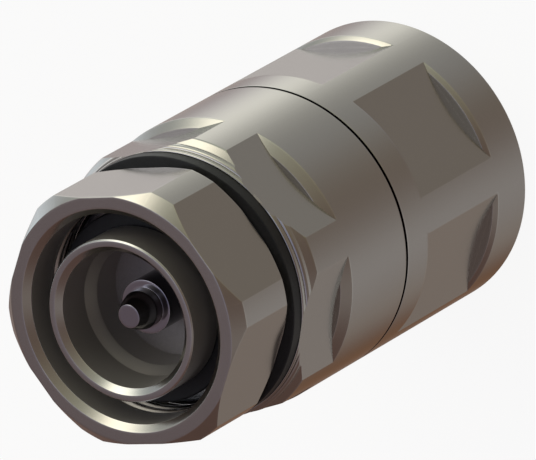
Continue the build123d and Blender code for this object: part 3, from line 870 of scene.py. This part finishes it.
@dataclass
class RearNut:
    """Rear half of the body: six wrench pockets outside, seal pocket and thread bore inside."""

    front: float = 28.71
    body_r: float = 19.0
    rear_edge: float = 0.3
    flat_r: float = 17.5
    pocket_back: float = 7.4
    pocket_front: float = 23.85
    bevel: float = 0.5
    o_ring_bore_r: float = 17.0
    land_back: float = 25.41
    lead: float = 0.6
    thread_bore_r: float = 16.08
    thread_back: float = 14.51
    seal_r: float = 15.95
    entry_length: float = 3.4
    entry_r: float = 14.25
    entry_chamfer: float = 0.8

    def build(self) -> bpy.types.Object:
        """The rear half's surface: its flats are closed by a square wall at the front end.

        Returns:
            The dressed piece.
        """
        flats = Flats(self.body_r, self.flat_r, self.pocket_back, self.bevel)
        angles = flats.angles
        corners = [
            (self.entry_r, self.entry_chamfer), (self.entry_r + self.entry_chamfer, 0.0),
            (self.body_r - self.rear_edge, 0.0), (self.body_r, self.rear_edge),
            *flats.rear_corners(), (flats.limit, self.pocket_front),
            (self.body_r, self.pocket_front), (self.body_r, self.front), (self.o_ring_bore_r, self.front),
            (self.o_ring_bore_r, self.land_back), (self.thread_bore_r, self.land_back - self.lead),
            (self.thread_bore_r, self.thread_back), (self.seal_r, self.thread_back),
            (self.seal_r, self.entry_length), (self.entry_r, self.entry_length)]
        sizes = [0.1, 0.1, 0.12, 0.12, 0.1, 0.08, 0.0, 0.0, 0.08, 0.08, 0.1, 0.05, 0.05, 0.0, 0.0, 0.05, 0.08]
        points, wear = rounded(outline(corners, angles), sizes)
        rows, worn = points.reshape(-1, angles.size, 2), wear.reshape(-1, angles.size)
        z = rows[..., 1]
        in_pocket = (z > self.pocket_back - 1.0) & (z < self.pocket_front + 0.5)
        worn = flats.rub_sides(worn, (rows[..., 0] > self.body_r - 0.01) & in_pocket)
        nut = to_object("rear_nut_finished", swept(rows, angles, worn))
        mark_milled(nut, 0.0)
        # Painted shade on the end face inside the joint.
        mark_painted_joint_shade(nut, self.front - 0.15, self.front + 0.05, self.o_ring_bore_r - 0.1)
        return dress(nut, Slot.PLATED_BODY, "rear_shell", "rear_nut")


@dataclass
class Contacts:
    """The outer contact's sleeve and the centre pin, which the mating socket slides on."""

    rim: float = 65.6
    sleeve_r: float = 10.57
    bore_r: float = 8.91
    mouth: float = 0.75
    edge: float = 0.2
    undercut_r: float = 10.22
    undercut_low: float = 57.2
    undercut_high: float = 59.95
    taper_top: float = 60.0
    taper_bottom: float = 58.46
    line_r: float = 7.98
    insulator_front: float = 54.26
    insulator_rear: float = 49.26
    pocket_r: float = 9.3
    seat: float = 49.5
    contact_rear: float = 46.3
    flange_r: float = 12.0
    groove_r: float = 10.9
    groove_low: float = 47.15
    groove_high: float = 48.65
    tip: float = 63.67
    tip_r: float = 1.52
    cone_end: float = 61.15
    cone_swell: float = 0.09
    pin_r: float = 2.5
    shoulder: float = 59.75
    shoulder_r: float = 3.52
    shank_r: float = 2.9

    def build_sleeve(self) -> bpy.types.Object:
        """The outer contact: a turned outline with a stepped and tapered bore."""
        corners = [
            (self.pocket_r, self.contact_rear), (self.flange_r, self.contact_rear),
            (self.flange_r, self.groove_low), (self.groove_r, self.groove_low),
            (self.groove_r, self.groove_high), (self.flange_r, self.groove_high),
            (self.flange_r, self.seat), (self.sleeve_r, self.seat), (self.sleeve_r, self.undercut_low),
            (self.undercut_r, self.undercut_low), (self.undercut_r, self.undercut_high),
            (self.sleeve_r, self.undercut_high), (self.sleeve_r, self.rim - self.edge),
            (self.sleeve_r - self.edge, self.rim), (self.bore_r + self.mouth, self.rim),
            (self.bore_r, self.rim - self.mouth), (self.bore_r, self.taper_top),
            (self.line_r, self.taper_bottom), (self.line_r, self.insulator_front),
            (self.pocket_r, self.insulator_front)]
        sizes = [0.0, 0.05, 0.0, 0.0, 0.0, 0.0, 0.05, 0.1, 0.05, 0.05, 0.05, 0.05, 0.1, 0.1, 0.05, 0.12, 0.3,
                 0.2, 0.03, 0.0]
        sleeve = to_object("outer_contact_finished", turned_surface(corners, sizes, 320))
        mark_hollow_painted_light(sleeve, outward=True)
        return dress(sleeve, Slot.PLATED_CONTACT, "front_shell", "outer_contact")

    def build_pin(self) -> bpy.types.Object:
        """The centre pin: tip disc, slightly swollen cone, straight part, shoulder and shank."""
        middle = ((self.tip_r + self.pin_r) / 2 + self.cone_swell, (self.tip + self.cone_end) / 2)
        corners = [(0.0, self.insulator_rear), (self.shank_r, self.insulator_rear),
                   (self.shank_r, self.insulator_front), (self.shoulder_r, self.insulator_front),
                   (self.shoulder_r, self.shoulder), (self.pin_r, self.shoulder), (self.pin_r, self.cone_end),
                   middle, (self.tip_r, self.tip), (0.0, self.tip)]
        sizes = [0.0, 0.0, 0.0, 0.0, 0.08, 0.04, 0.6, 3.0, 0.08, 0.0]
        pin = to_object("centre_pin_finished", turned_surface(corners, sizes, 144))
        mark_hollow_painted_light(pin, outward=True)
        return dress(pin, Slot.POLISHED_PIN, "front_shell", "centre_pin")


@dataclass
class Rubbers:
    """The two rubber rings that show: the interface gasket and the ring behind the coupling nut."""

    inner_r: float = 10.25
    neck_r: float = 12.5
    gasket_low: float = 57.2
    gasket_high: float = 59.7
    ring_in_r: float = 12.53
    ring_out_r: float = 17.45
    ring_low: float = 51.0
    ring_high: float = 53.1
    ring_round: float = 0.12

    def build_gasket(self) -> bpy.types.Object:
        """The gasket round the sleeve, with moulded rounds on its front face."""
        corners = [(self.inner_r, self.gasket_low), (self.neck_r, self.gasket_low),
                   (self.neck_r, self.gasket_high), (self.inner_r, self.gasket_high)]
        gasket = to_object("interface_gasket_finished", turned_surface(corners, (0.1, 0.1, 0.25, 0.25), 240))
        return dress(gasket, Slot.BLACK_RUBBER, "front_shell", "interface_gasket")

    def build_ring(self) -> bpy.types.Object:
        """The ring between the nut and the body, with rounded outer edges."""
        corners = [(self.ring_in_r, self.ring_low), (self.ring_out_r, self.ring_low),
                   (self.ring_out_r, self.ring_high), (self.ring_in_r, self.ring_high)]
        sizes = (0.1, self.ring_round, self.ring_round, 0.1)
        ring = to_object("nut_seal_ring_finished", turned_surface(corners, sizes, 320))
        ring.visible_glossy = False
        return dress(ring, Slot.BLACK_RUBBER, "front_shell", "nut_seal_ring")


def finish_cad_nodes() -> None:
    """Gives every CAD node that stays its finish, by the slot that the record names."""
    slots = {member.slot: member for member in Slot}
    for part in frame["record"]["subparts"]:
        node = frame["nodes"].get(part["node"])
        if node is None or node.hide_render:
            continue
        node.data.materials.clear()
        node.data.materials.append(slots[part["material_slot"]].value.material())
        log.info("%s: finish %s", part["node"], part["material_slot"])


# ---------------------------------------------------------------- studio


@dataclass(frozen=True)
class Glow:
    """A soft light at no distance in particular: brightest one way and fading smoothly round it.

    azimuth runs from +X towards +Y and elevation up from the floor, in degrees. Along a direction whose
    cosine with the middle is c, the light is tint times e to the power focus (c - 1). One that darkens takes
    that light away from the rest, for a side of the room where its colour is deeper.
    """

    azimuth: float
    elevation: float
    focus: float
    tint: tuple[float, float, float]
    darkens: bool = False

    def way(self) -> tuple[float, float, float]:
        """Unit vector towards the brightest place."""
        a, e = math.radians(self.azimuth), math.radians(self.elevation)
        return math.cos(e) * math.cos(a), math.cos(e) * math.sin(a), math.sin(e)


@dataclass(frozen=True)
class PhotoCamera:
    """The photograph's camera, from a fit of the plug's circles and hexagon to the picture."""

    distance: float = 1500.0
    tilt: float = 38.427
    azimuth: float = -6.94
    yaw: float = 0.029
    pitch: float = 0.814
    roll: float = 119.706
    focal: float = 12182.383
    aim_height: float = 65.5
    picture_width: float = 536.0
    sensor: float = 36.0

    def build(self) -> bpy.types.Object:
        """The camera: it looks at the nut's front, then yaws, pitches and rolls about its own axes."""
        t, a = math.radians(self.tilt), math.radians(self.azimuth)
        out = Vector((math.sin(t) * math.cos(a), math.sin(t) * math.sin(a), math.cos(t)))
        right = (-out).cross(Vector((0.0, 0.0, 1.0))).normalized()
        base = Matrix((right, out.cross(right), out))
        roll, pitch, yaw = (Matrix.Rotation(math.radians(angle), 3, axis)
                            for angle, axis in ((self.roll, "Z"), (self.pitch, "X"), (self.yaw, "Y")))
        data = bpy.data.cameras.new("photo_camera")
        data.sensor_width = self.sensor
        data.lens = self.sensor * self.focal / self.picture_width
        data.clip_start, data.clip_end = 0.01, 20.0
        camera = bpy.data.objects.new("photo_camera", data)
        place = out * self.distance * MM + Vector((0.0, 0.0, self.aim_height * MM))
        camera.matrix_world = Matrix.Translation(place) @ (roll @ pitch @ yaw @ base).transposed().to_4x4()
        link(camera)
        bpy.context.scene.camera = camera
        return camera


@dataclass
class Studio:
    """Pale floor, and soft surroundings that the metal mirrors."""

    glows: tuple[Glow, ...]
    room: tuple[float, float, float] = (0.21, 0.13, 0.11)
    floor: tuple[float, float, float] = (0.78, 0.76, 0.73)
    floor_half: float = 2.5
    shown_white: float = 0.91

    def build(self) -> None:
        """Builds the floor and the world."""
        self._floor()
        self._world()
        log.info("studio with %d soft lights", len(self.glows))

    def _floor(self) -> None:
        """A plane at z = 0: mostly white to the camera, pale to other rays, and clear to mirror rays."""
        side = np.array([-1.0, 1.0]) * self.floor_half
        x, y = np.meshgrid(side, side)
        points = np.stack([x.ravel(), y.ravel(), np.zeros(4)], axis=-1)
        mesh = bpy.data.meshes.new("floor")
        mesh.from_pydata(points.tolist(), [], [(0, 1, 3, 2)])
        floor = link(bpy.data.objects.new("floor", mesh))
        material = bpy.data.materials.new("floor_paper")
        wire = blank(material)
        paper, glow = wire.add("ShaderNodeBsdfDiffuse"), wire.add("ShaderNodeEmission")
        wire.feed(paper.inputs["Color"], self.floor + (1.0,))
        light = wire.add("ShaderNodeLightPath")
        blend, clear = wire.add("ShaderNodeMixShader"), wire.add("ShaderNodeMixShader")
        wire.feed(blend.inputs[0], wire.times(light.outputs["Is Camera Ray"], self.shown_white))
        wire.feed(blend.inputs[1], paper.outputs[0])
        wire.feed(blend.inputs[2], glow.outputs[0])
        wire.feed(clear.inputs[0], light.outputs["Is Glossy Ray"])
        wire.feed(clear.inputs[1], blend.outputs[0])
        wire.feed(clear.inputs[2], wire.add("ShaderNodeBsdfTransparent").outputs[0])
        wire.feed(wire.add("ShaderNodeOutputMaterial").inputs["Surface"], clear.outputs[0])
        mesh.materials.append(material)

    def _world(self) -> None:
        """Surroundings: white to the camera, and to all else the room's colour with the soft lights added."""
        world = bpy.data.worlds.new("studio")
        bpy.context.scene.world = world
        wire = blank(world)
        way = wire.add("ShaderNodeTexCoord").outputs["Generated"]
        total: object = self.room + (1.0,)
        for glow in self.glows:
            along = wire.add("ShaderNodeVectorMath", operation="DOT_PRODUCT")
            wire.feed(along.inputs[0], way)
            wire.feed(along.inputs[1], glow.way())
            off = wire.math("SUBTRACT", along.outputs["Value"], 1.0)
            fade = wire.math("EXPONENT", wire.times(off, glow.focus))
            lit = wire.mix(fade, BLACK, glow.tint + (1.0,))
            blend = "SUBTRACT" if glow.darkens else "ADD"
            add = wire.add("ShaderNodeMix", data_type="RGBA", blend_type=blend, clamp_result=False)
            for socket, item in zip((add.inputs[0], add.inputs[6], add.inputs[7]), (1.0, total, lit)):
                wire.feed(socket, item)
            total = add.outputs[2]
        seen = wire.add("ShaderNodeLightPath").outputs["Is Camera Ray"]
        sky = wire.add("ShaderNodeBackground")
        wire.feed(sky.inputs["Color"], wire.mix(seen, total, WHITE))
        wire.feed(wire.add("ShaderNodeOutputWorld").inputs["Surface"], sky.outputs[0])


def main() -> None:
    """Builds the camera, the pieces, their finishes and the studio."""
    logging.basicConfig(level=logging.INFO, format="%(name)s %(message)s")
    bpy.context.scene.view_settings.view_transform = "Standard"
    PhotoCamera().build()
    CouplingNut().build()
    FrontBody().build()
    RearNut().build()
    contacts = Contacts()
    contacts.build_sleeve()
    contacts.build_pin()
    rubbers = Rubbers()
    rubbers.build_gasket()
    rubbers.build_ring()
    finish_cad_nodes()
    Studio(glows=(
        Glow(83.1, 0.0, 3.0, (0.64, 0.82, 0.87)),
        Glow(293.1, -30.0, 8.0, (0.67, 0.77, 0.80)),
        Glow(98.1, -45.0, 20.0, (1.07, 1.13, 1.09)),
        Glow(83.1, 30.0, 20.0, (1.95, 1.87, 1.52)),
        Glow(70.0, 26.0, 60.0, (1.45, 1.38, 1.15)),
        Glow(86.0, 20.0, 60.0, (0.90, 0.90, 0.82)),
        Glow(143.1, 0.0, 45.0, (1.46, 1.93, 2.25)),
        Glow(38.1, 0.0, 3.0, (0.40, 0.45, 0.25)),
        Glow(293.1, 30.0, 20.0, (0.19, 0.22, 0.22)),
        Glow(128.1, -30.0, 20.0, (1.32, 1.29, 1.31)),
        Glow(248.1, -60.0, 45.0, (0.17, 0.18, 0.15)),
        Glow(38.1, -60.0, 20.0, (0.09, 0.13, 0.20)),
        Glow(0.0, 90.0, 10.0, (0.30, 0.44, 0.75)),
        Glow(12.0, 60.0, 80.0, (1.00, 1.08, 1.15)),
        Glow(124.0, -9.0, 45.0, (0.42, 0.50, 0.58)),
        Glow(126.0, 59.0, 40.0, (2.20, 2.35, 2.60)),
        Glow(252.0, 60.0, 45.0, (0.50, 0.45, 0.40)),
        Glow(165.0, -52.0, 60.0, (0.17, 0.17, 0.16)),
        Glow(98.0, -52.0, 100.0, (0.26, 0.26, 0.21)),
        Glow(134.0, -52.0, 60.0, (0.13, 0.13, 0.11), darkens=True),
        Glow(205.0, -52.0, 25.0, (0.0, 0.03, 0.062), darkens=True),
    )).build()
    log.info("boxes written")


if __name__ == "__main__":
    main()
